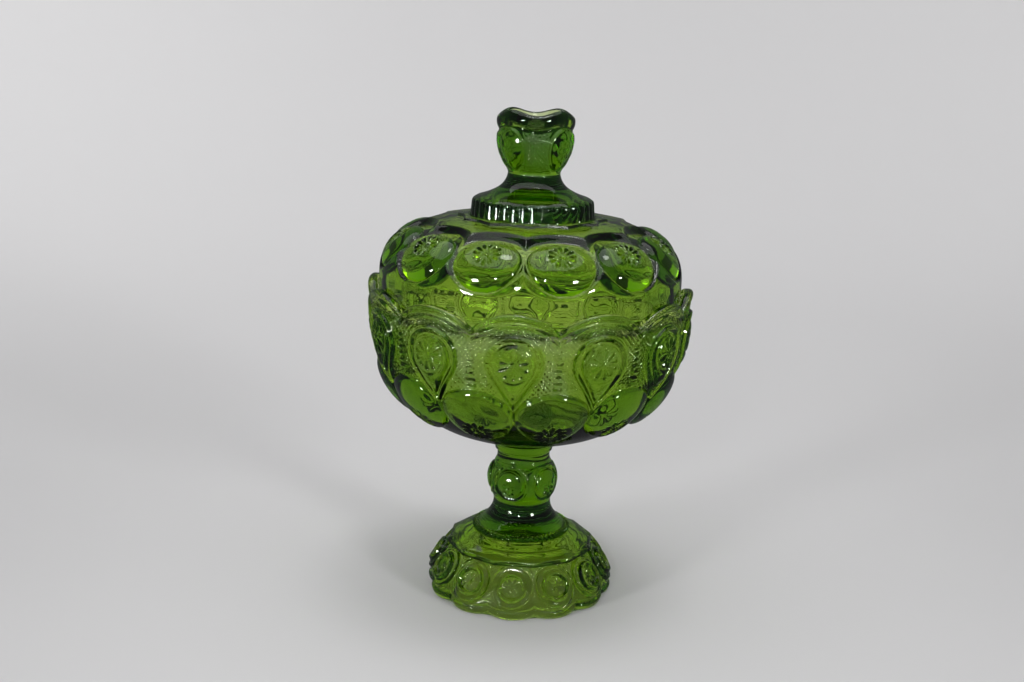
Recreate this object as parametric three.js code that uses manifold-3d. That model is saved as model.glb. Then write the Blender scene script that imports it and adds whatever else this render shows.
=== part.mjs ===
// A covered candy dish in pressed green glass: a footed bowl and a loose lid.
// Millimetres, +Z up, origin on the table under the middle of the foot.

import * as THREE from 'three';
import { mergeVertices } from 'three/addons/utils/BufferGeometryUtils.js';
import Module from 'manifold-3d';

// ---- driving dimensions ----

const REPEATS = 12;              // moons, arches and teardrops round the dish
const BOWL_TURN = -4.4;          // degrees from the front to the middle of the front arch
const LID_TURN = 12.4;           // degrees from the front to the middle of a lid moon

const FOOT_RING_OUTER = 43.6;    // the flat ring that stands on the table
const FOOT_RING_INNER = 39.0;
const FOOT_WIDEST = 46.0;
const FOOT_SCALLOP = 1.1;        // how far the foot's edge swells at each moon
const FOOT_MOON = { height: 14.0, reach: 8.5, bulge: 1.1 };

const COLLAR_RADIUS = 22.0;      // skirt at the bottom of the stem
const COLLAR_HEIGHT = 31.8;
const STEM_NECK = 12.9;
const STEM_BULB = 16.75;
const STEM_TOP = 76.6;           // where the stem meets the bowl

const BOWL_RADIUS = 77.4;
const RIM_TOP = 156.1;           // top of a rim arch
const RIM_CUSP = 147.9;          // bottom of the notch between two arches
const BOWL_MOON = { height: 106.5, reach: 13.0, bulge: 4.4 };
const BOWL_FLOOR = 89.0;
const LEDGE_HEIGHT = 145.5;      // inside step that carries the lid
const LEDGE_RADIUS = 69.4;
const SEAT_RADIUS = 73.1;        // rim wall above the ledge

const LID_GAP = 0.3;             // clearance between the lid's edge and the ledge
const LID_BAND = 72.2;           // the lid's smooth upright band
const LID_BORE = 66.2;
const LID_PEAK = 191.0;          // top of the hollow inside the cone
const LID_MOON = { height: 174.5, reach: 9.0, bulge: 1.5 };
const SHOULDER_HEIGHT = 187.2;
const FLUTES = 36;
const FLUTED_RING = { bottomRadius: 29.8, topRadius: 28.9, depth: 1.3, bottom: 186.4, top: 195.8 };

const FINIAL_NECK = 12.2;
const FINIAL_RADIUS = 18.0;
const FINIAL_TOP = 236.9;
const FINIAL_LOBES = 4;
const FINIAL_SWELL = 0.5;        // how far a lobe stands out from the mean radius
const FINIAL_WAVE = 1.1;         // how far a lobe stands above the mean rim height
const CUP_FLOOR = 224.6;

const COARSE = 36;               // facets round a plain surface
const FINE = REPEATS * 8;        // facets round a patterned surface

// ---- geometry helpers ----

const degrees = THREE.MathUtils.degToRad;
const smoothstep = THREE.MathUtils.smoothstep;

// A curve through [radius, height] points.
function curve(points, steps) {
  const line = new THREE.SplineCurve(points.map(([r, z]) => new THREE.Vector2(r, z)));
  return line.getPoints(steps);
}

// Straight runs between [radius, height] points.
function line(points) {
  return points.map(([r, z]) => new THREE.Vector2(r, z));
}

// A closed solid of revolution about Z. relief(point, angle) may move each point,
// with the angle counted from the middle of the front repeat.
function turned(profile, segments, relief = null) {
  let geometry = new THREE.LatheGeometry(profile, segments);
  geometry.rotateX(Math.PI / 2);
  geometry.deleteAttribute('normal');
  geometry.deleteAttribute('uv');
  if (relief) {
    const position = geometry.attributes.position;
    const point = new THREE.Vector3();
    for (let i = 0; i < position.count; i += 1) {
      point.fromBufferAttribute(position, i);
      relief(point, Math.atan2(point.x, -point.y));
      position.setXYZ(i, point.x, point.y, point.z);
    }
  }
  geometry = mergeVertices(geometry, 1e-4);
  const whole = [];
  const index = geometry.index.array;
  for (let i = 0; i < index.length; i += 3) {
    const [a, b, c] = index.slice(i, i + 3);
    if (a !== b && b !== c && c !== a) whole.push(a, b, c);
  }
  geometry.setIndex(whole);
  return geometry;
}

const wasm = await Module();
wasm.setup();

function solid(geometry) {
  return new wasm.Manifold(new wasm.Mesh({
    numProp: 3,
    vertProperties: new Float32Array(geometry.attributes.position.array),
    triVerts: new Uint32Array(geometry.index.array),
  }));
}

function geometryOf(manifold) {
  const mesh = manifold.getMesh();
  const geometry = new THREE.BufferGeometry();
  geometry.setAttribute('position', new THREE.BufferAttribute(mesh.vertProperties, 3));
  geometry.setIndex(new THREE.BufferAttribute(mesh.triVerts, 1));
  geometry.computeVertexNormals();
  return geometry;
}

// ---- pattern ----

// How far an angle is from the middle of its repeat, from -1 to 1 at the joins.
function across(angle, repeats, shift = 0) {
  const share = (angle * repeats) / (2 * Math.PI) + shift;
  return 2 * (share - Math.round(share));
}

// Pushes a point outwards from the axis.
function push(point, amount) {
  const radius = Math.hypot(point.x, point.y);
  if (radius < 1) return;
  point.x *= 1 + amount / radius;
  point.y *= 1 + amount / radius;
}

// A round boss of a row of moons, seen side-on: 1 in its middle and 0 at its edge.
function boss(point, u, moon) {
  const v = (point.z - moon.height) / moon.reach;
  const inside = 1 - u * u - v * v;
  return inside > 0 ? Math.min(1, 1.5 * Math.sqrt(inside)) : 0;
}

// ---- footed bowl ----

function footRelief(point, angle) {
  const u = across(angle, REPEATS);
  const radius = Math.hypot(point.x, point.y);
  push(point, FOOT_MOON.bulge * boss(point, u, FOOT_MOON));
  const atEdge = 1 - smoothstep(point.z, 0, 9);
  if (radius > FOOT_RING_OUTER - 0.5) push(point, -FOOT_SCALLOP * atEdge * u * u);
}

function foot() {
  const outside = [
    ...line([[0, 0], [FOOT_RING_OUTER, 0]]),
    ...curve([[FOOT_WIDEST - 0.4, 2], [FOOT_WIDEST, 4.5], [44.2, 9.5], [41.8, 14],
      [38.6, 19], [35.2, 23], [31.0, 27.2], [26.0, 30.6], [18, 33.2]], 11),
    ...line([[0, 33.2]]),
  ];
  const hollow = [
    ...line([[0, -1], [FOOT_RING_INNER, -1]]),
    ...curve([[FOOT_RING_INNER, 0], [37.6, 6], [34.0, 13.5], [28.0, 20], [18.0, 24.6], [0, 26.5]], 8),
  ];
  return { outside: turned(outside, FINE, footRelief), hollow: turned(hollow, COARSE) };
}

function stem() {
  return turned([
    ...line([[0, 28], [18, 28], [COLLAR_RADIUS, COLLAR_HEIGHT], [COLLAR_RADIUS - 0.4, 33.4]]),
    ...curve([[20.4, 34.6], [16.3, 39], [14.2, 43.5], [14.1, 46], [STEM_BULB - 0.2, 53.5],
      [STEM_BULB, 58], [13.8, 66], [STEM_NECK, 69.5], [STEM_NECK + 0.2, 72]], 13),
    ...line([[14.0, 72.4], [14.0, STEM_TOP + 3], [0, STEM_TOP + 3]]),
  ], COARSE);
}

// The rim is a row of round arches, and the wall below it carries a row of moons.
function bowlRelief(point, angle) {
  const u = across(angle, REPEATS);
  const arch = Math.sqrt(Math.max(0, 1 - u * u));
  const nearRim = smoothstep(point.z, 140, RIM_TOP - 2);
  const radius = Math.hypot(point.x, point.y);
  if (radius > 50) {
    const height = boss(point, across(angle, REPEATS, 0.5), BOWL_MOON);
    push(point, 0.78 * BOWL_MOON.bulge * height);
    point.z -= 0.62 * BOWL_MOON.bulge * height;
    push(point, -1.2 * (1 - arch) * nearRim);
  }
  point.z -= (RIM_TOP - RIM_CUSP) * (1 - arch) * nearRim;
}

function bowl() {
  const outside = [
    ...line([[0, STEM_TOP], [14, STEM_TOP]]),
    ...curve([[20, 78.8], [32, 82.8], [46.6, 89.0], [57.4, 98.2], [65.4, 108.8], [71.0, 119.4],
      [73.6, 126], [75.4, 134], [76.6, 142], [BOWL_RADIUS, 149], [BOWL_RADIUS + 0.9, RIM_TOP - 1]], 20),
    ...line([[BOWL_RADIUS - 1.4, RIM_TOP], [SEAT_RADIUS - 2, RIM_TOP], [0, RIM_TOP]]),
  ];
  const hollow = [
    ...line([[0, BOWL_FLOOR]]),
    ...curve([[18, BOWL_FLOOR + 0.8], [36, 93.4], [48.5, 99], [57.5, 107], [63.6, 117.5],
      [67.2, 129], [LEDGE_RADIUS - 0.6, 138]], 11),
    ...line([[LEDGE_RADIUS, LEDGE_HEIGHT], [SEAT_RADIUS, LEDGE_HEIGHT],
      [SEAT_RADIUS + 0.6, RIM_TOP + 4], [0, RIM_TOP + 4]]),
  ];
  return { outside: turned(outside, FINE, bowlRelief), hollow: turned(hollow, COARSE) };
}

function footedBowl() {
  const base = foot();
  const cup = bowl();
  const whole = solid(cup.outside).add(solid(stem())).add(solid(base.outside));
  const turn = [0, 0, BOWL_TURN];
  return geometryOf(whole.subtract(solid(cup.hollow)).subtract(solid(base.hollow)).rotate(turn));
}

// ---- lid ----

function lidRelief(point, angle) {
  if (Math.hypot(point.x, point.y) < 40) return;
  const height = boss(point, across(angle, REPEATS), LID_MOON);
  push(point, LID_MOON.bulge * height);
  point.z += 0.4 * LID_MOON.bulge * height;
}

function dome() {
  const edge = LEDGE_HEIGHT + LID_GAP;
  const outside = [
    ...line([[0, edge], [LID_BAND - 0.8, edge], [LID_BAND, edge + 1]]),
    ...curve([[LID_BAND, 160], [71.9, 164.5], [69.0, 170.5], [64.8, 175.5], [59.0, 180],
      [52.0, 183.6], [43.0, 186]], 12),
    ...line([[30, SHOULDER_HEIGHT], [0, SHOULDER_HEIGHT]]),
  ];
  const hollow = [
    ...line([[0, edge - 2], [LID_BORE, edge - 2]]),
    ...curve([[LID_BORE, 158], [64.9, 164.5], [60.2, 171.5], [52.5, 177.0], [40.0, 180.6],
      [29.0, 182.0]], 8),
    ...curve([[24.5, 182.8], [21, 184.6], [15.5, 188.4], [8, 190.5], [0, LID_PEAK]], 5),
  ];
  return { outside: turned(outside, FINE, lidRelief), hollow: turned(hollow, COARSE) };
}

// The ring of upright flutes and the cone above it.
function flutedRing() {
  const { bottomRadius, topRadius, depth, bottom, top } = FLUTED_RING;
  const groove = (point, angle) => {
    const onFlutes = Math.hypot(point.x, point.y) > topRadius - 2;
    const u = across(angle, FLUTES);
    if (onFlutes) push(point, -depth * Math.abs(u));
  };
  return turned([
    ...line([[0, bottom], [bottomRadius, bottom], [topRadius, top]]),
    ...curve([[26.5, top + 0.8], [19.5, 199.6], [14.6, 203], [FINIAL_NECK + 0.3, 206.6]], 5),
    ...line([[0, 206.6]]),
  ], FLUTES * 2, groove);
}

// The finial's cup swells into four lobes, and its rim rises and falls with them.
function finialRelief(point, angle) {
  const swell = Math.cos(FINIAL_LOBES * (angle + degrees(LID_TURN - 45)));
  const open = smoothstep(point.z, 211, 226);
  push(point, FINIAL_SWELL * open * swell);
  point.z += FINIAL_WAVE * smoothstep(point.z, 224, FINIAL_TOP) * swell;
}

function finial() {
  const outside = [
    ...line([[0, 205.6], [FINIAL_NECK + 0.4, 205.6], [FINIAL_NECK, 208.6]]),
    ...curve([[13.3, 211], [14.9, 214], [17.0, 219.6], [FINIAL_RADIUS, 225], [17.5, 230],
      [17.6, 233.5], [16.6, FINIAL_TOP]], 10),
    ...line([[0, FINIAL_TOP]]),
  ];
  const hollow = [
    ...line([[0, CUP_FLOOR]]),
    ...curve([[3.2, CUP_FLOOR + 0.4], [6.4, 226.2], [9.2, 228.8], [11.4, 232], [13.6, FINIAL_TOP]], 6),
    ...line([[13.6, FINIAL_TOP + 4], [0, FINIAL_TOP + 4]]),
  ];
  return {
    outside: turned(outside, COARSE, finialRelief),
    hollow: turned(hollow, COARSE),
  };
}

function lid() {
  const cover = dome();
  const knob = finial();
  const whole = solid(cover.outside).add(solid(flutedRing())).add(solid(knob.outside));
  const turn = [0, 0, LID_TURN];
  return geometryOf(whole.subtract(solid(cover.hollow)).subtract(solid(knob.hollow)).rotate(turn));
}

// ---- the dish ----

const glass = new THREE.MeshStandardMaterial({
  color: new THREE.Color(0.22, 0.42, 0.06), roughness: 0.05, metalness: 0,
  transparent: true, opacity: 0.6,
});

const dish = new THREE.Group();
for (const [name, geometry] of [['footed_bowl', footedBowl()], ['lid', lid()]]) {
  const piece = new THREE.Mesh(geometry, glass.clone());
  piece.name = name;
  dish.add(piece);
}

export default dish;
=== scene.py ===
"""A covered candy dish in pressed green glass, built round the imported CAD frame.

Two pieces of glass are made here, one for each CAD body. Each is an outline turned round the
stem's axis, with the pressed pattern raised in the mesh itself. Lengths in the shape tables
are millimetres, and the meshes are metres.
"""

import math

import bpy
import numpy as np
from mathutils import Matrix, Vector


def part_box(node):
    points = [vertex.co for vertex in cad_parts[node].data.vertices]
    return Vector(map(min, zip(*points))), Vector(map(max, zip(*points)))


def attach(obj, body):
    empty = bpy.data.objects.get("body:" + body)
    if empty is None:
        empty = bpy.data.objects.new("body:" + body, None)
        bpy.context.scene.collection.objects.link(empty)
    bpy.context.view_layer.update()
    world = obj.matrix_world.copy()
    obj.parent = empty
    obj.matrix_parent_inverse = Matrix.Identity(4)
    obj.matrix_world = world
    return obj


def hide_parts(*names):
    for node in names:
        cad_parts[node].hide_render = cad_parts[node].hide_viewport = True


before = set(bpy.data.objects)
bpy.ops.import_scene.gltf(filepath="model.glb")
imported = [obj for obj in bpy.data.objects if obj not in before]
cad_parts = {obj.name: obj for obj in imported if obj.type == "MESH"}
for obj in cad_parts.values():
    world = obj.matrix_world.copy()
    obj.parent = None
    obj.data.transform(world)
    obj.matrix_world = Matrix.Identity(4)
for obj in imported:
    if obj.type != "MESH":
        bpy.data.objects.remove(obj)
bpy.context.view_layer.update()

MM = 0.001

# ---- sizes that come from the frame ----

_, bowl_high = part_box("footed_bowl")
lid_low, lid_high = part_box("lid")
RIM_TOP = bowl_high.z / MM
RIM_RADIUS = bowl_high.x / MM
LID_EDGE = lid_low.z / MM
LID_TOP = lid_high.z / MM

# ---- the pattern ----

REPEATS = 12                     # moons, arches and teardrops round the dish
BOWL_TURN = math.radians(-4.4)   # from the front to the middle of the front arch
LID_TURN = math.radians(12.4)    # from the front to the middle of a lid moon
FINIAL_TURN = math.radians(46.9) # from the front to the middle of a finial lobe
STEM_TURN = math.radians(-23)    # from the front to the middle of a stem circle
FLUTE_TURN = math.radians(3.2)   # from the front to the middle of a rib
FINIAL_LOBES = 4
STEM_CIRCLES = 5
FLUTES = 36
COLLAR_BEADS = 60

# ---- the grain of the meshes ----

FINE = 960                       # columns round a closely patterned surface
MEDIUM = 480                     # columns round a surface with broad relief or none
COARSE = 240                     # columns round a plain surface near the axis
STEP = 0.5                       # distance between rows on a patterned surface


# ---- outlines ----

def smooth(points, step):
    """A Catmull-Rom curve through (radius, height) points, with a point about every step."""
    p = np.array(points, float)
    ends = np.vstack([2 * p[0] - p[1], p, 2 * p[-1] - p[-2]])
    out = []
    for i in range(len(p) - 1):
        a, b, c, d = ends[i : i + 4]
        count = max(1, round(float(np.hypot(*(c - b))) / step))
        t = np.linspace(0, 1, count, endpoint=False)[:, None]
        out.append(
            0.5 * (2 * b + (c - a) * t + (2 * a - 5 * b + 4 * c - d) * t**2
                   + (3 * b - a - 3 * c + d) * t**3)
        )
    return np.vstack([*out, p[-1:]])


def straight(start, end, step):
    """Points from start up to but not including end."""
    start, end = np.array(start, float), np.array(end, float)
    count = max(1, round(float(np.hypot(*(end - start))) / step))
    return start + (end - start) * np.linspace(0, 1, count, endpoint=False)[:, None]


def corner(centre, radius, start, end, count=6):
    """A round corner, between two angles in degrees from the outward direction."""
    turn = np.radians(np.linspace(start, end, count))
    return np.array(centre) + radius * np.stack([np.cos(turn), np.sin(turn)], 1)


# ---- pattern helpers ----

def repeat(theta, count, turn, shift=0.0):
    """The angle from the middle of the nearest repeat."""
    pitch = 2 * math.pi / count
    share = (theta - turn) / pitch - shift
    return (share - np.round(share)) * pitch


def ramp(x, low, high):
    """A smooth rise from 0 at low to 1 at high."""
    t = np.clip((x - low) / (high - low), 0, 1)
    return t * t * (3 - 2 * t)


def ridge(distance, width):
    """A round-topped ridge, 1 high where the distance is 0."""
    return np.exp(-((distance / width) ** 2))


def dome(share):
    """The height of a round cap, from 1 in its middle to 0 at its edge."""
    return np.sqrt(np.clip(1 - share**2, 0, 1))


def star(across, up, radius, rays):
    """The depth of a pressed star whose rays are hollow petals, from 1 down to 0."""
    angle = np.arctan2(across, up)
    reach = np.hypot(across, up)
    side = 2 * np.abs((angle * rays / (2 * math.pi) + 0.5) % 1 - 0.5)
    petal = np.clip(1 - (1.15 * side) ** 2, 0, 1)
    end = radius * (1 - 0.3 * side**2)
    return petal * ramp(reach, 0.4, 1.6) * (1 - ramp(reach, end - 1.2, end))


def stipple(across, up, pitch):
    """Fine pebbling, from -1 to 1."""
    wander = 0.6 * np.sin(across * 1.7 + up * 0.9)
    wave = 2 * math.pi / pitch
    return np.sin(wave * across + wander) * np.sin(wave * up - wander)


def teardrop(across, up, top, half, tip):
    """The distance outside a teardrop that points down."""
    centre = top - half
    lean = math.asin(half / (centre - tip))
    x, y = np.abs(across), up - centre
    round_part = np.hypot(x, y) - half
    beyond = (
        -(x - half * math.cos(lean)) * math.sin(lean) - (y + half * math.sin(lean)) * math.cos(lean)
    )
    side = x * math.cos(lean) - (up - tip) * math.sin(lean)
    return np.where(beyond > 0, side, round_part)


def sunk(turn, amount):
    """The inside of thick pressed glass sinks a little behind each boss as it cools."""
    def relief(theta, r, z, along):
        da = repeat(theta, REPEATS, turn)
        ripple = np.cos(REPEATS * da) + 0.5 * np.sin(2 * REPEATS * da + 0.24 * z) * np.cos(0.31 * z)
        return amount * ripple * ramp(r, 30, 50)
    return relief


def lid_inside(theta, r, z, along):
    """The lid is thickest behind its moons, with soft upright waves in the band below them."""
    u = repeat(theta, REPEATS, LID_TURN) * REPEATS / math.pi
    wall = 1.5 * ramp(z, 146, 151) * (1 - ramp(z, 171, 178))
    behind_moon = 3.8 * dome(np.hypot(u, (z - 170.5) / 9.5)) ** 2
    band = ramp(z, 148, 152) * (1 - ramp(z, 162, 168))
    waves = 0.16 * np.cos(2 * REPEATS * (theta - LID_TURN)) * band
    return wall + behind_moon + waves


# ---- turning an outline into a closed mesh ----

class Turned:
    """Rows of points round the axis, from the axis out and back to the axis."""

    def __init__(self):
        self.rows = []

    def add(self, points, columns, relief=None, warp=None):
        """Adds one stretch of the outline. relief gives how far each point stands out."""
        self.rows.append((np.array(points, float), columns, relief, warp))

    def mesh(self, name):
        """Turns the outline round the axis, with its relief along the outline's normal."""
        outline = np.vstack([points for points, *_ in self.rows])
        along = np.concatenate([[0], np.cumsum(np.hypot(*np.diff(outline, axis=0).T))])
        slope = np.gradient(outline, along + np.arange(len(along)) * 1e-9, axis=0)
        normal = np.stack([slope[:, 1], -slope[:, 0]], 1)
        normal /= np.linalg.norm(normal, axis=1, keepdims=True) + 1e-12
        rings, first = [], 0
        for points, columns, relief, warp in self.rows:
            theta = np.arange(columns) * 2 * math.pi / columns
            for k in range(len(points)):
                r, z = points[k]
                n = normal[first + k]
                if r < 1e-6:
                    rings.append(np.array([[0.0, 0.0, z]]))
                    continue
                radius, height = np.full(columns, r), np.full(columns, z)
                if warp:
                    radius, height = warp(theta, radius, height)
                if relief:
                    out = relief(theta, radius, height, along[first + k])
                    radius, height = radius + n[0] * out, height + n[1] * out
                rings.append(np.stack([radius * np.sin(theta), -radius * np.cos(theta), height], 1))
            first += len(points)
        return closed_mesh(name, rings)


def closed_mesh(name, rings):
    """Joins rings of points, which may halve or double from one to the next, into a mesh."""
    starts = np.concatenate([[0], np.cumsum([len(r) for r in rings])])
    quads, triangles = [], []
    for i in range(len(rings) - 1):
        m, n = len(rings[i]), len(rings[i + 1])
        a, b = starts[i], starts[i + 1]
        if m == n:
            j = np.arange(m)
            k = (j + 1) % m
            quads.append(np.stack([a + j, a + k, b + k, b + j], 1))
        elif m == 1 or n == 1:
            j = np.arange(max(m, n))
            k = (j + 1) % max(m, n)
            pole = np.full(len(j), a if m == 1 else b)
            fan = [pole, b + k, b + j] if m == 1 else [a + j, a + k, pole]
            triangles.append(np.stack(fan, 1))
        elif n == 2 * m:
            triangles.append(bridge(a, b, m, False))
        elif m == 2 * n:
            triangles.append(bridge(b, a, n, True))
        else:
            raise ValueError(f"{name}: rows of {m} and {n} points can't be joined")
    return new_mesh(name, np.vstack(rings) * MM, quads, triangles)


def bridge(few, many, count, fine_first):
    """Three triangles to each step of the coarse ring, which has half the fine ring's points."""
    j = np.arange(count)
    k = (j + 1) % count
    f0, f1, f2 = many + 2 * j, many + 2 * j + 1, many + (2 * j + 2) % (2 * count)
    c0, c1 = few + j, few + k
    parts = [(c0, f1, f0), (c0, c1, f1), (c1, f2, f1)]
    if fine_first:
        parts = [(c, b, a) for a, b, c in parts]
    return np.vstack([np.stack(p, 1) for p in parts])


def new_mesh(name, points, quads, triangles):
    """Makes a smooth-shaded object from points and lists of arrays of corner numbers."""
    mesh = bpy.data.meshes.new(name)
    quads = np.vstack(quads) if quads else np.zeros((0, 4), int)
    triangles = np.vstack(triangles) if triangles else np.zeros((0, 3), int)
    corners = np.concatenate([quads.ravel(), triangles.ravel()])
    sizes = np.concatenate([np.full(len(quads), 4), np.full(len(triangles), 3)])
    mesh.vertices.add(len(points))
    mesh.vertices.foreach_set("co", points.astype(np.float32).ravel())
    mesh.loops.add(len(corners))
    mesh.loops.foreach_set("vertex_index", corners.astype(np.int32))
    mesh.polygons.add(len(sizes))
    firsts = np.concatenate([[0], np.cumsum(sizes)[:-1]])
    mesh.polygons.foreach_set("loop_start", firsts.astype(np.int32))
    mesh.update(calc_edges=True)
    mesh.validate()
    mesh.shade_smooth()
    piece = bpy.data.objects.new(name, mesh)
    bpy.context.scene.collection.objects.link(piece)
    return piece


# ---- the footed bowl ----

# lean is length along the sloping wall over height, and half is half of a width
FOOT_MOON = dict(height=14.7, lean=1.16, radius=9.5)
STEM_CIRCLE_HEIGHT = 57.8
WALL_RADIUS = 75.0               # where widths on the bowl's wall are measured
TEAR = dict(top=146.8, half=12.9, tip=111.5)
TEAR_LENS = dict(top=143.2, half=9.6, tip=115.5)
MEDALLION_HEIGHT = 134.4
PIT_HEIGHT = 119.6
BAR_PITCH = 2.9                  # between the ladder's bars
BEAD_PITCH = 1.9                 # between the beads of the rim's border
LOWER_MOON = dict(height=106.5, lean=1.24, half_width=16.9, half_height=16.6, wall_radius=64.0)


def foot_band(theta, r, z, along):
    """Ringed moons on the sloping side of the foot."""
    across = r * repeat(theta, REPEATS, BOWL_TURN)
    up = (z - FOOT_MOON["height"]) * FOOT_MOON["lean"]
    reach = np.hypot(across, up)
    share = reach / FOOT_MOON["radius"]
    disc = 1.9 * dome(share) ** 0.5 - 0.9 * ridge(reach - 9.9, 0.5)
    ring = 1.4 * ridge(reach - 5.9, 0.75) - 0.7 * ridge(reach - 7.7, 0.7)
    dish = -1.2 * dome(reach / 5.0)
    centre = 0.9 * ridge(reach, 1.3) - 0.6 * star(across, up, 4.2, 8)
    pebbles = 0.3 * stipple(across, up, 1.9) * ramp(share, 1.02, 1.1) * ramp(z, 8, 11)
    lip = -1.3 * ridge(z - 5.0, 0.75)
    return disc + ring + dish + centre + pebbles + lip


def foot_edge(theta, r, z):
    """The foot's lower edge swells under each moon, and lifts off the table between them."""
    u = repeat(theta, REPEATS, BOWL_TURN) * REPEATS / math.pi
    notch = 1 - np.sqrt(np.clip(1.12 - u * u, 0, 2) / 1.12)
    low = (1 - ramp(z, 4, 9)) * ramp(r, 41.0, 44.5)
    return r - 4.6 * notch * low, z + 2.2 * notch * low


def foot_facets(theta, r, z):
    """The shoulder's edge runs straight over each moon."""
    da = repeat(theta, REPEATS, BOWL_TURN)
    flat = math.cos(math.pi / REPEATS) / np.cos(da)
    weight = ridge(z - 24.9, 1.9)
    return r * (1 + 1.3 * (flat - math.cos(math.pi / REPEATS / 2)) * weight), z


def collar_beads(theta, r, z, along):
    """A ring of beads round the lower edge of the stem."""
    return 1.9 * np.abs(np.sin(theta * COLLAR_BEADS / 2)) * ridge(z - 32.2, 1.1)


def stem_moons(theta, r, z, along):
    """Ringed circles round the stem's bulge, each with a small star low in it."""
    across = r * repeat(theta, STEM_CIRCLES, STEM_TURN)
    up = z - STEM_CIRCLE_HEIGHT
    reach = np.hypot(across, up)
    rings = 0.5 * ridge(reach - 9.0, 0.6) - 0.9 * ridge(reach - 7.8, 0.7)
    return rings - 1.2 * star(across, up + 3.0, 3.6, 6) + 0.8 * dome(reach / 7.2)


def rim_arches(theta, r, z):
    """The rim is a row of round arches, which also pull the wall below them down a little."""
    u = repeat(theta, REPEATS, BOWL_TURN) * REPEATS / math.pi
    bend = 1.44                  # arch radius over half its width
    notch_depth = 8.2            # from the top of an arch to the notch beside it
    full = bend - math.sqrt(bend**2 - 1)
    drop = (bend - np.sqrt(bend**2 - u * u)) / full
    weight = ramp(z, 139, RIM_TOP - 1.5)
    return r - 1.9 * drop * weight, z - notch_depth * drop * weight


def rim_line(theta):
    """The height of the rim above each point of the wall."""
    _, z = rim_arches(theta, np.zeros_like(theta), np.full_like(theta, RIM_TOP))
    return z


def bowl_wall(theta, r, z, along):
    """Teardrops under the arches, ladders between them and stippling round both."""
    across = WALL_RADIUS * repeat(theta, REPEATS, BOWL_TURN)
    outside = teardrop(across, z, **TEAR)
    inside = teardrop(across, z, **TEAR_LENS)
    belly = 1.7 * ramp(-outside, -0.6, 1.0)
    lens = 2.4 * dome(np.clip(1 + inside / TEAR_LENS["half"], 0, 1))
    edges = 1.3 * ridge(outside + 0.4, 0.6) - 1.2 * ridge(inside - 0.5, 0.8)
    below_rim = rim_line(theta) - z
    beads = 0.7 + 0.3 * np.cos(2 * math.pi * across / BEAD_PITCH)
    border = (
        1.2 * beads * ridge(below_rim - 1.3, 0.8)
        - 1.6 * ridge(below_rim - 3.6, 0.8)
        + 0.5 * ridge(below_rim - 5.4, 0.6)
    )
    ground = ramp(outside, 0.8, 1.4) * ramp(below_rim, 5.6, 6.8) * ramp(z, 112, 118)
    bars = ladder(theta, z)
    middle = np.hypot(across, z - MEDALLION_HEIGHT)
    medallion = (
        -1.2 * star(across, z - MEDALLION_HEIGHT, 7.4, 10) - 0.6 * ridge(middle - 7.9, 0.6)
    )
    pit = -1.3 * ridge(np.hypot(across, z - PIT_HEIGHT), 1.6)
    pebbles = 0.95 * stipple(across, z, 2.4) * ground * (1 - np.minimum(1, bars * 3))
    pressed = np.where(inside < 0, lens + medallion + pit, 0)
    return belly + pressed + edges * ramp(below_rim, 4.0, 6.0) + border + bars + pebbles


def ladder(theta, z):
    """Short level bars, one above another, in the gap between two teardrops."""
    across = WALL_RADIUS * repeat(theta, REPEATS, BOWL_TURN, 0.5)
    reach = 1.1 + 1.3 * (1 - ramp(z, 119, 142))
    bar = 0.5 + 0.5 * np.cos(2 * math.pi * z / BAR_PITCH)
    ends = ramp(z, 117, 119) * (1 - ramp(z, 140, 142))
    return 1.5 * bar * ramp(reach - np.abs(across), -0.3, 0.4) * ends


def lower_moons(theta, r, z, along):
    """Round bosses between the teardrops' tips, each with a star low on it."""
    across = LOWER_MOON["wall_radius"] * repeat(theta, REPEATS, BOWL_TURN, 0.5)
    up = (z - LOWER_MOON["height"]) * LOWER_MOON["lean"]
    reach = np.hypot(across / LOWER_MOON["half_width"], up / LOWER_MOON["half_height"])
    boss = 4.8 * dome(reach) ** 0.9
    rays = -1.4 * star(across, up + 7.5, 7.6, 12)
    return boss + np.where(reach < 1, rays, 0)


def pattern_zone(theta, r, z, along):
    """The moons meet the wall above them along their upper edges."""
    wall = bowl_wall(theta, r, z, along)
    moons = lower_moons(theta, r, z, along)
    tear = teardrop(WALL_RADIUS * repeat(theta, REPEATS, BOWL_TURN), z, **TEAR)
    in_front = ramp(z, 110, 121)
    blend = np.where(tear < 0.5, wall, np.maximum(moons, wall * in_front))
    return np.where(z > 122.5, wall, np.where(z < 109, moons, blend))


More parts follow.
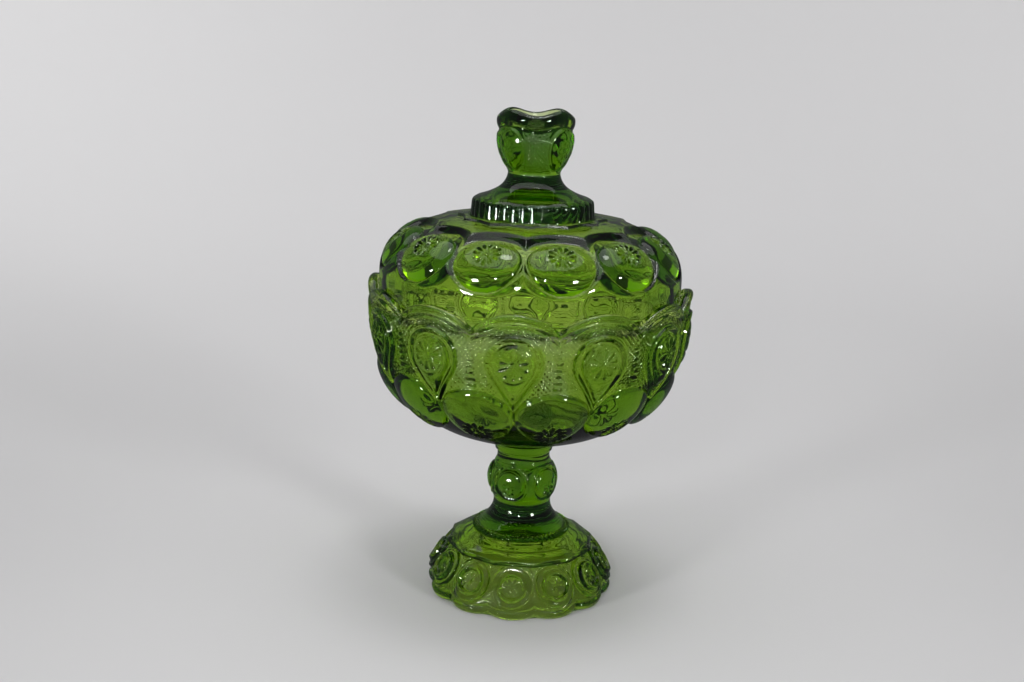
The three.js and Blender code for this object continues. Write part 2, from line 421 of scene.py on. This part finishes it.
def footed_bowl():
    """From the hollow under the foot, up the outside, over the rim and down into the bowl."""
    rim_in = 73.3
    shape = Turned()
    under_foot = [(0, 26.5), (18, 24.6), (28, 20), (34, 13.5), (37.6, 6), (38.8, 1.0)]
    shape.add(smooth(under_foot, 2.5), COARSE)
    shape.add(corner((39.6, 0.8), 0.8, 180, 255, 4), MEDIUM)
    shape.add(straight((39.9, 0), (40.6, 0), 0.6), MEDIUM)
    shape.add(straight((40.6, 0), (43.0, 0), 0.6), FINE, None, foot_edge)
    lip = [(43.4, 0.0), (44.8, 0.6), (45.8, 2.2), (46.1, 4.2), (45.6, 6.4), (44.6, 8.2)]
    shape.add(smooth(lip, STEP), FINE, foot_band, foot_edge)
    foot_side = [(44.3, 8.8), (42.6, 11.2), (40.7, 14.6), (37.9, 18.6), (34.6, 22.6), (33.9, 23.5)]
    shape.add(smooth(foot_side, STEP), FINE, foot_band, foot_edge)
    foot_step = [(33.6, 23.6), (35.8, 23.7), (36.3, 24.0), (36.0, 25.4), (35.4, 26.0), (33.2, 26.9),
                 (30.4, 28.6)]
    shape.add(smooth(foot_step, 0.3), FINE, None, foot_facets)
    shape.add(smooth([(29.8, 28.7), (26.6, 30.3), (22.8, 31.3)], 1.0), MEDIUM)
    collar = [(22.0, 31.5), (22.4, 31.9), (22.4, 32.7), (21.7, 33.5), (20.4, 34.8), (18.4, 36.8)]
    shape.add(smooth(collar, 0.4), MEDIUM, collar_beads)
    waist = [(18.0, 37.2), (16.1, 39.6), (14.6, 42.8), (14.1, 46), (14.6, 48.4)]
    shape.add(smooth(waist, 0.8), COARSE)
    bulge = [(14.9, 49.2), (16.1, 52.0), (16.8, 55.4), (16.8, 59), (16.0, 62.2), (14.6, 65)]
    shape.add(smooth(bulge, 0.5), MEDIUM, stem_moons)
    shape.add(smooth([(14.2, 65.7), (13.1, 68), (12.9, 70.2), (13.0, 71.9)], 0.6), COARSE)
    stem_top = [(13.5, 72.3), (14.1, 72.6), (14.2, 74.0), (14.5, 75.8), (15.6, 77.0), (18.5, 78.3)]
    shape.add(smooth(stem_top, 0.5), COARSE)
    underside = [(19.5, 78.7), (29, 81.7), (36, 84.2), (41.6, 86.4), (46.6, 89.0), (50.2, 91.4)]
    shape.add(smooth(underside, 1.0), MEDIUM)
    wall = [(50.8, 91.8), (53.4, 94.0), (57.4, 98.2), (61.6, 103.4), (65.4, 108.8), (68.6, 114.2),
            (71.0, 119.4), (72.6, 125), (73.6, 131), (74.3, 137), (75.2, 143), (76.4, 149),
            (RIM_RADIUS - 1.0, 153.4)]
    shape.add(smooth(wall, STEP), FINE, pattern_zone, rim_arches)
    shape.add(corner((RIM_RADIUS - 2.0, RIM_TOP - 1.8), 1.8, 10, 90, 7), FINE, None, rim_arches)
    rim_flat = straight((RIM_RADIUS - 2.6, RIM_TOP), (rim_in + 1.6, RIM_TOP), 0.7)
    shape.add(rim_flat, FINE, None, rim_arches)
    shape.add(corner((rim_in + 1.6, RIM_TOP - 1.6), 1.6, 90, 180, 6), FINE, None, rim_arches)
    above_seat = straight((rim_in - 0.1, 153.6), (rim_in - 0.2, 146.3), 0.6)
    shape.add(above_seat, FINE, None, rim_arches)
    shape.add(corner((rim_in - 0.6, 145.9), 0.4, 0, -90, 4), MEDIUM)
    shape.add(corner((71.4, 143.5), 2.0, 90, 180, 8), MEDIUM)
    inside = [(69.4, 144), (68.8, 138), (67.2, 129), (63.6, 117.5), (57.5, 107), (48.5, 99), (36, 93.4)]
    shape.add(smooth(inside, 1.0), MEDIUM, sunk(BOWL_TURN, 0.22))
    shape.add(smooth([(34, 92.9), (18, 89.8), (0, 89.0)], 1.6), COARSE)
    return shape.mesh("pressed_footed_bowl")


# ---- the lid ----

LID_MOON_RISE = 20.6             # from the start of the patterned stretch to the moons' middle


def lid_moons(start):
    """Round cabochons with a deep moat above them, and a star in the upper half of each."""
    def relief(theta, r, z, along):
        across = r * repeat(theta, REPEATS, LID_TURN)
        up = along - start - LID_MOON_RISE
        disc = np.hypot(across / 15.9, up / 14.9)
        moat = np.hypot(across / 19.8, (up - 4.0) / 19.6)
        hollow = -3.0 * (1 - ramp(moat, 0.80, 1.0))
        cap = -3.0 + 4.0 * dome(disc) ** 0.9
        rays = -2.2 * star(across, up - 3.8, 6.8, 12)
        return np.where(disc < 1, cap + rays, hollow)
    return relief


def crown_points(theta, r, z, along):
    """A low scalloped step round the fluted ring, with a point between each two moons."""
    u = repeat(theta, REPEATS, LID_TURN, 0.5) * REPEATS / math.pi
    edge = 32.6 + 3.0 * (1 - np.abs(u)) ** 1.6
    return 0.9 * ramp(edge - r, -0.4, 0.4)


def flutes(theta, r, z, along):
    """Round upright ribs with sharp grooves between them."""
    u = repeat(theta, FLUTES, FLUTE_TURN) * FLUTES / math.pi
    return -0.75 * u * u * ramp(z, 186.8, 188.0) * (1 - ramp(z, 195.0, 196.4))


def finial_lobes(theta, r, z, along):
    """Oval lobes with a small star pressed into each, and pebbled panels between them."""
    finial_radius, middle_height = 17.0, 220
    across = finial_radius * repeat(theta, FINIAL_LOBES, FINIAL_TURN)
    up = z - middle_height
    reach = np.hypot(across / 7.6, up / 9.6)
    lobe = 0.6 * dome(reach) - 0.45 * ridge(reach - 1.05, 0.08)
    panel = ramp(reach, 1.15, 1.3) * ramp(z, 210, 213) * (1 - ramp(z, 226, 228))
    pebbles = 0.4 * stipple(across, up, 2.1) * panel
    return lobe - 0.35 * star(across, 0.6 * up, 3.4, 8) + pebbles


def finial_rim(theta, r, z):
    """The rolled rim rises over each lobe and dips between them."""
    wave = np.cos(FINIAL_LOBES * (theta - FINIAL_TURN))
    return r - 0.25 * wave * ramp(z, 224, 234), z + (1.15 * wave - 0.15) * ramp(z, 222, 229)


def finial_inside(theta, r, z):
    """The cup's inside follows the rim near its top."""
    wave = np.cos(FINIAL_LOBES * (theta - FINIAL_TURN))
    return r, z + (1.15 * wave - 0.15) * ramp(z, 227, 233)


def lid():
    """From the hollow under the cone, down the inside, up the outside and into the finial's cup."""
    band = 72.2
    bore = 66.2
    top = LID_TOP - 1.15
    shape = Turned()
    peak = [(0, 191.0), (8, 190.5), (15.5, 188.4), (21, 184.6), (24.5, 182.8), (29, 182.0)]
    shape.add(smooth(peak, 1.0), COARSE)
    inside = [(31, 181.9), (40, 180.6), (52.5, 177.0), (60.2, 171.5), (64.9, 164.5), (bore, 158),
              (bore, LID_EDGE + 2.8)]
    shape.add(smooth(inside, 1.0), MEDIUM, lid_inside)
    shape.add(corner((bore + 2.4, LID_EDGE + 2.4), 2.4, 180, 270, 9), MEDIUM)
    shape.add(straight((bore + 2.9, LID_EDGE), (band - 1.2, LID_EDGE), 1.0), MEDIUM)
    shape.add(corner((band - 1.0, LID_EDGE + 1.0), 1.0, -90, 0, 5), MEDIUM)
    shape.add(straight((band, LID_EDGE + 1.6), (band, 158.6), 1.2), MEDIUM)
    before = shape_length(shape)
    shoulder = [(band, 159.4), (72.1, 162.6), (71.5, 166.4), (70.1, 170.4), (67.6, 174.4), (64.2, 178.0),
                (59.8, 181.2), (54.6, 183.6), (49.4, 185.0), (44.6, 185.9), (40.6, 186.4)]
    shape.add(smooth(shoulder, STEP), FINE, lid_moons(before))
    shape.add(smooth([(39.6, 186.5), (34, 187.0), (30.6, 187.2)], 0.4), FINE, crown_points)
    ring = [(30.2, 187.3), (29.8, 187.6), (29.6, 188.3), (29.3, 191.4), (29.0, 194.6), (28.6, 195.6),
            (27.8, 196.2), (26.6, 196.9)]
    shape.add(smooth(ring, 0.35), FINE, flutes)
    cone = [(25.6, 197.2), (22.4, 198.3), (18.9, 199.9), (16.2, 201.6), (14.3, 203.5), (13.0, 205.8),
            (12.4, 208.0)]
    shape.add(smooth(cone, 0.7), MEDIUM)
    finial = [(12.4, 208.4), (12.6, 209.2), (13.1, 210.2), (15.0, 213.6), (16.8, 217.6), (17.8, 221.6),
              (18.0, 224.8), (17.8, 227.2), (17.3, 228.8), (17.1, 229.5)]
    shape.add(smooth(finial, 0.4), MEDIUM, finial_lobes, finial_rim)
    rolled_rim = [(17.2, 230.0), (17.7, 231.0), (18.1, 232.6), (18.1, 234.4), (17.5, 235.9),
                  (16.3, top - 0.1), (15.0, top - 0.2), (14.0, top - 1.2)]
    shape.add(smooth(rolled_rim, 0.4), MEDIUM, None, finial_rim)
    cup = [(13.6, 235.0), (12.4, 233.0), (11.0, 231), (9.2, 228.8), (6.4, 226.2), (3.2, 225.0),
           (1.2, 224.7)]
    shape.add(smooth(cup, 0.8), MEDIUM, None, finial_inside)
    shape.add([(0.6, 224.6), (0, 224.6)], COARSE)
    return shape.mesh("pressed_lid")


def shape_length(shape):
    """How far along the outline the next stretch begins, up to its first point."""
    outline = np.vstack([points for points, *_ in shape.rows])
    return float(np.hypot(*np.diff(outline, axis=0).T).sum())


# ---- glass ----

def green_glass():
    """Yellow-green glass, which takes up red and blue as light goes through it."""
    material = bpy.data.materials.new("green_glass")
    material.use_nodes = True
    tree = material.node_tree
    nodes, links = tree.nodes, tree.links
    glass = nodes["Principled BSDF"]
    glass.inputs["Base Color"].default_value = (1, 1, 1, 1)
    glass.inputs["Transmission Weight"].default_value = 1
    glass.inputs["IOR"].default_value = 1.5

    where = nodes.new("ShaderNodeTexCoord")
    ripple = nodes.new("ShaderNodeTexNoise")
    ripple.inputs["Scale"].default_value = 95
    ripple.inputs["Detail"].default_value = 3
    links.new(where.outputs["Object"], ripple.inputs["Vector"])
    bump = nodes.new("ShaderNodeBump")
    bump.inputs["Strength"].default_value = 0.06
    bump.inputs["Distance"].default_value = 0.0006
    links.new(ripple.outputs["Fac"], bump.inputs["Height"])
    links.new(bump.outputs["Normal"], glass.inputs["Normal"])

    handling = nodes.new("ShaderNodeTexNoise")
    handling.inputs["Scale"].default_value = 38
    handling.inputs["Detail"].default_value = 6
    links.new(where.outputs["Object"], handling.inputs["Vector"])
    roughness = nodes.new("ShaderNodeMapRange")
    roughness.inputs["From Min"].default_value = 0.35
    roughness.inputs["From Max"].default_value = 0.75
    roughness.inputs["To Min"].default_value = 0.0
    roughness.inputs["To Max"].default_value = 0.02
    links.new(handling.outputs["Fac"], roughness.inputs["Value"])
    links.new(roughness.outputs["Result"], glass.inputs["Roughness"])

    body = nodes.new("ShaderNodeVolumeAbsorption")
    body.inputs["Color"].default_value = (0.665, 0.80, 0.11, 1)
    body.inputs["Density"].default_value = 248
    links.new(body.outputs["Volume"], nodes["Material Output"].inputs["Volume"])
    return material


# ---- stage, lights and camera ----

def plain(name, colour, roughness):
    """A material of one even colour."""
    material = bpy.data.materials.new(name)
    material.use_nodes = True
    shader = material.node_tree.nodes["Principled BSDF"]
    shader.inputs["Base Color"].default_value = (*colour, 1)
    shader.inputs["Roughness"].default_value = roughness
    return material


def cove():
    """A round floor that curves up into a wall all the way round."""
    floor, bend, height, columns = 0.75, 0.95, 1.15, 96
    outline = [(0.0, 0.0), (floor, 0.0)]
    for step in range(1, 13):
        turn = math.radians(90 * step / 12)
        outline.append((floor + bend * math.sin(turn), bend * (1 - math.cos(turn))))
    outline.append((floor + bend, height))
    points, faces = [(0, 0, 0)], []
    for r, z in outline[1:]:
        for c in range(columns):
            turn = 2 * math.pi * c / columns
            points.append((r * math.cos(turn), r * math.sin(turn), z))
    for c in range(columns):
        d = (c + 1) % columns
        faces.append((0, 1 + c, 1 + d))
        for k in range(len(outline) - 2):
            a, b = 1 + k * columns, 1 + (k + 1) * columns
            faces.append((a + c, b + c, b + d, a + d))
    mesh = bpy.data.meshes.new("cove")
    mesh.from_pydata(points, [], faces)
    mesh.shade_smooth()
    stage = bpy.data.objects.new("cove", mesh)
    bpy.context.scene.collection.objects.link(stage)
    stage.data.materials.append(plain("pale_cloth", (0.62, 0.615, 0.62), 0.9))
    stage.visible_glossy = False     # its mirror image would veil the pressed pattern


def area_light(name, place, target, size, power, spread=180):
    """A round light aimed at a point, with its beam's spread in degrees."""
    data = bpy.data.lights.new(name, "AREA")
    data.spread = math.radians(spread)
    data.shape = "DISK"
    data.size = size
    data.energy = power
    light = bpy.data.objects.new(name, data)
    light.location = place
    light.rotation_euler = (Vector(target) - Vector(place)).to_track_quat("-Z", "Y").to_euler()
    bpy.context.scene.collection.objects.link(light)


def lamp(name, turn, rise, distance, size, power):
    """A lamp aimed at the dish, turned from the front and raised by angles in degrees."""
    turn, rise = math.radians(turn), math.radians(rise)
    middle = Vector((0, 0, 0.15))
    level = math.cos(rise)
    out = Vector((math.sin(turn) * level, -math.cos(turn) * level, math.sin(rise)))
    area_light(name, middle + distance * out, middle, size, power, spread=60)


def lights():
    """Small lamps for the glints, a wide ceiling, and a wash on the wall before and behind."""
    lamp("lamp_left", -44, 3, 1.1, 0.22, 0.75)
    lamp("lamp_right", 42, 12, 1.1, 0.20, 0.56)
    lamp("lamp_front", -9, 16, 0.66, 0.06, 0.11)
    area_light("lamp_above", (0.1, -0.05, 1.4), (0, -0.02, 0), 0.4, 0.9, spread=110)
    area_light("ceiling", (-0.15, 0.0, 1.7), (-0.15, 0.0, 0), 2.6, 16.8)
    for side in (-1, 1):
        back_power = 5.0 - 1.2 * side
        area_light("wash_back", (side * 0.6, 0.5, 1.1), (side * 0.8, 1.7, 0.5), 0.6, back_power)
        area_light("wash_front", (side * 0.6, -0.5, 1.1), (side * 0.8, -1.7, 0.5), 0.6, 2.4)
    world = bpy.data.worlds.new("room")
    world.use_nodes = True
    background = world.node_tree.nodes["Background"]
    background.inputs["Color"].default_value = (0.96, 0.98, 1.0, 1)
    background.inputs["Strength"].default_value = 0.12
    bpy.context.scene.world = world


def camera():
    """A view from the front, a little above the dish and with a slight roll."""
    pitch, yaw, roll = math.radians(13.554), math.radians(-0.728), math.radians(2.007)
    data = bpy.data.cameras.new("camera")
    data.sensor_width = 36
    data.lens = 44.86
    data.clip_start = 0.01
    level = math.cos(pitch)
    forward = Vector((math.sin(yaw) * level, math.cos(yaw) * level, -math.sin(pitch)))
    seen = bpy.data.objects.new("camera", data)
    turn = forward.to_track_quat("-Z", "Y").to_matrix().to_4x4() @ Matrix.Rotation(roll, 4, "Z")
    seen.matrix_world = Matrix.Translation((0, -0.6033, 0.2717)) @ turn
    bpy.context.scene.collection.objects.link(seen)
    bpy.context.scene.camera = seen


def quality():
    """Enough bounces for light to pass through four thick walls of glass."""
    cycles = bpy.context.scene.cycles
    cycles.use_denoising = True
    cycles.max_bounces = 24
    cycles.transmission_bounces = 24
    cycles.transparent_max_bounces = 24
    cycles.glossy_bounces = 8
    cycles.sample_clamp_indirect = 5
    bpy.context.scene.view_settings.view_transform = "Standard"


camera()
glass = green_glass()
for piece, node in ((footed_bowl(), "footed_bowl"), (lid(), "lid")):
    piece.data.materials.append(glass)
    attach(piece, node)
    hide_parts(node)
cove()
lights()
quality()
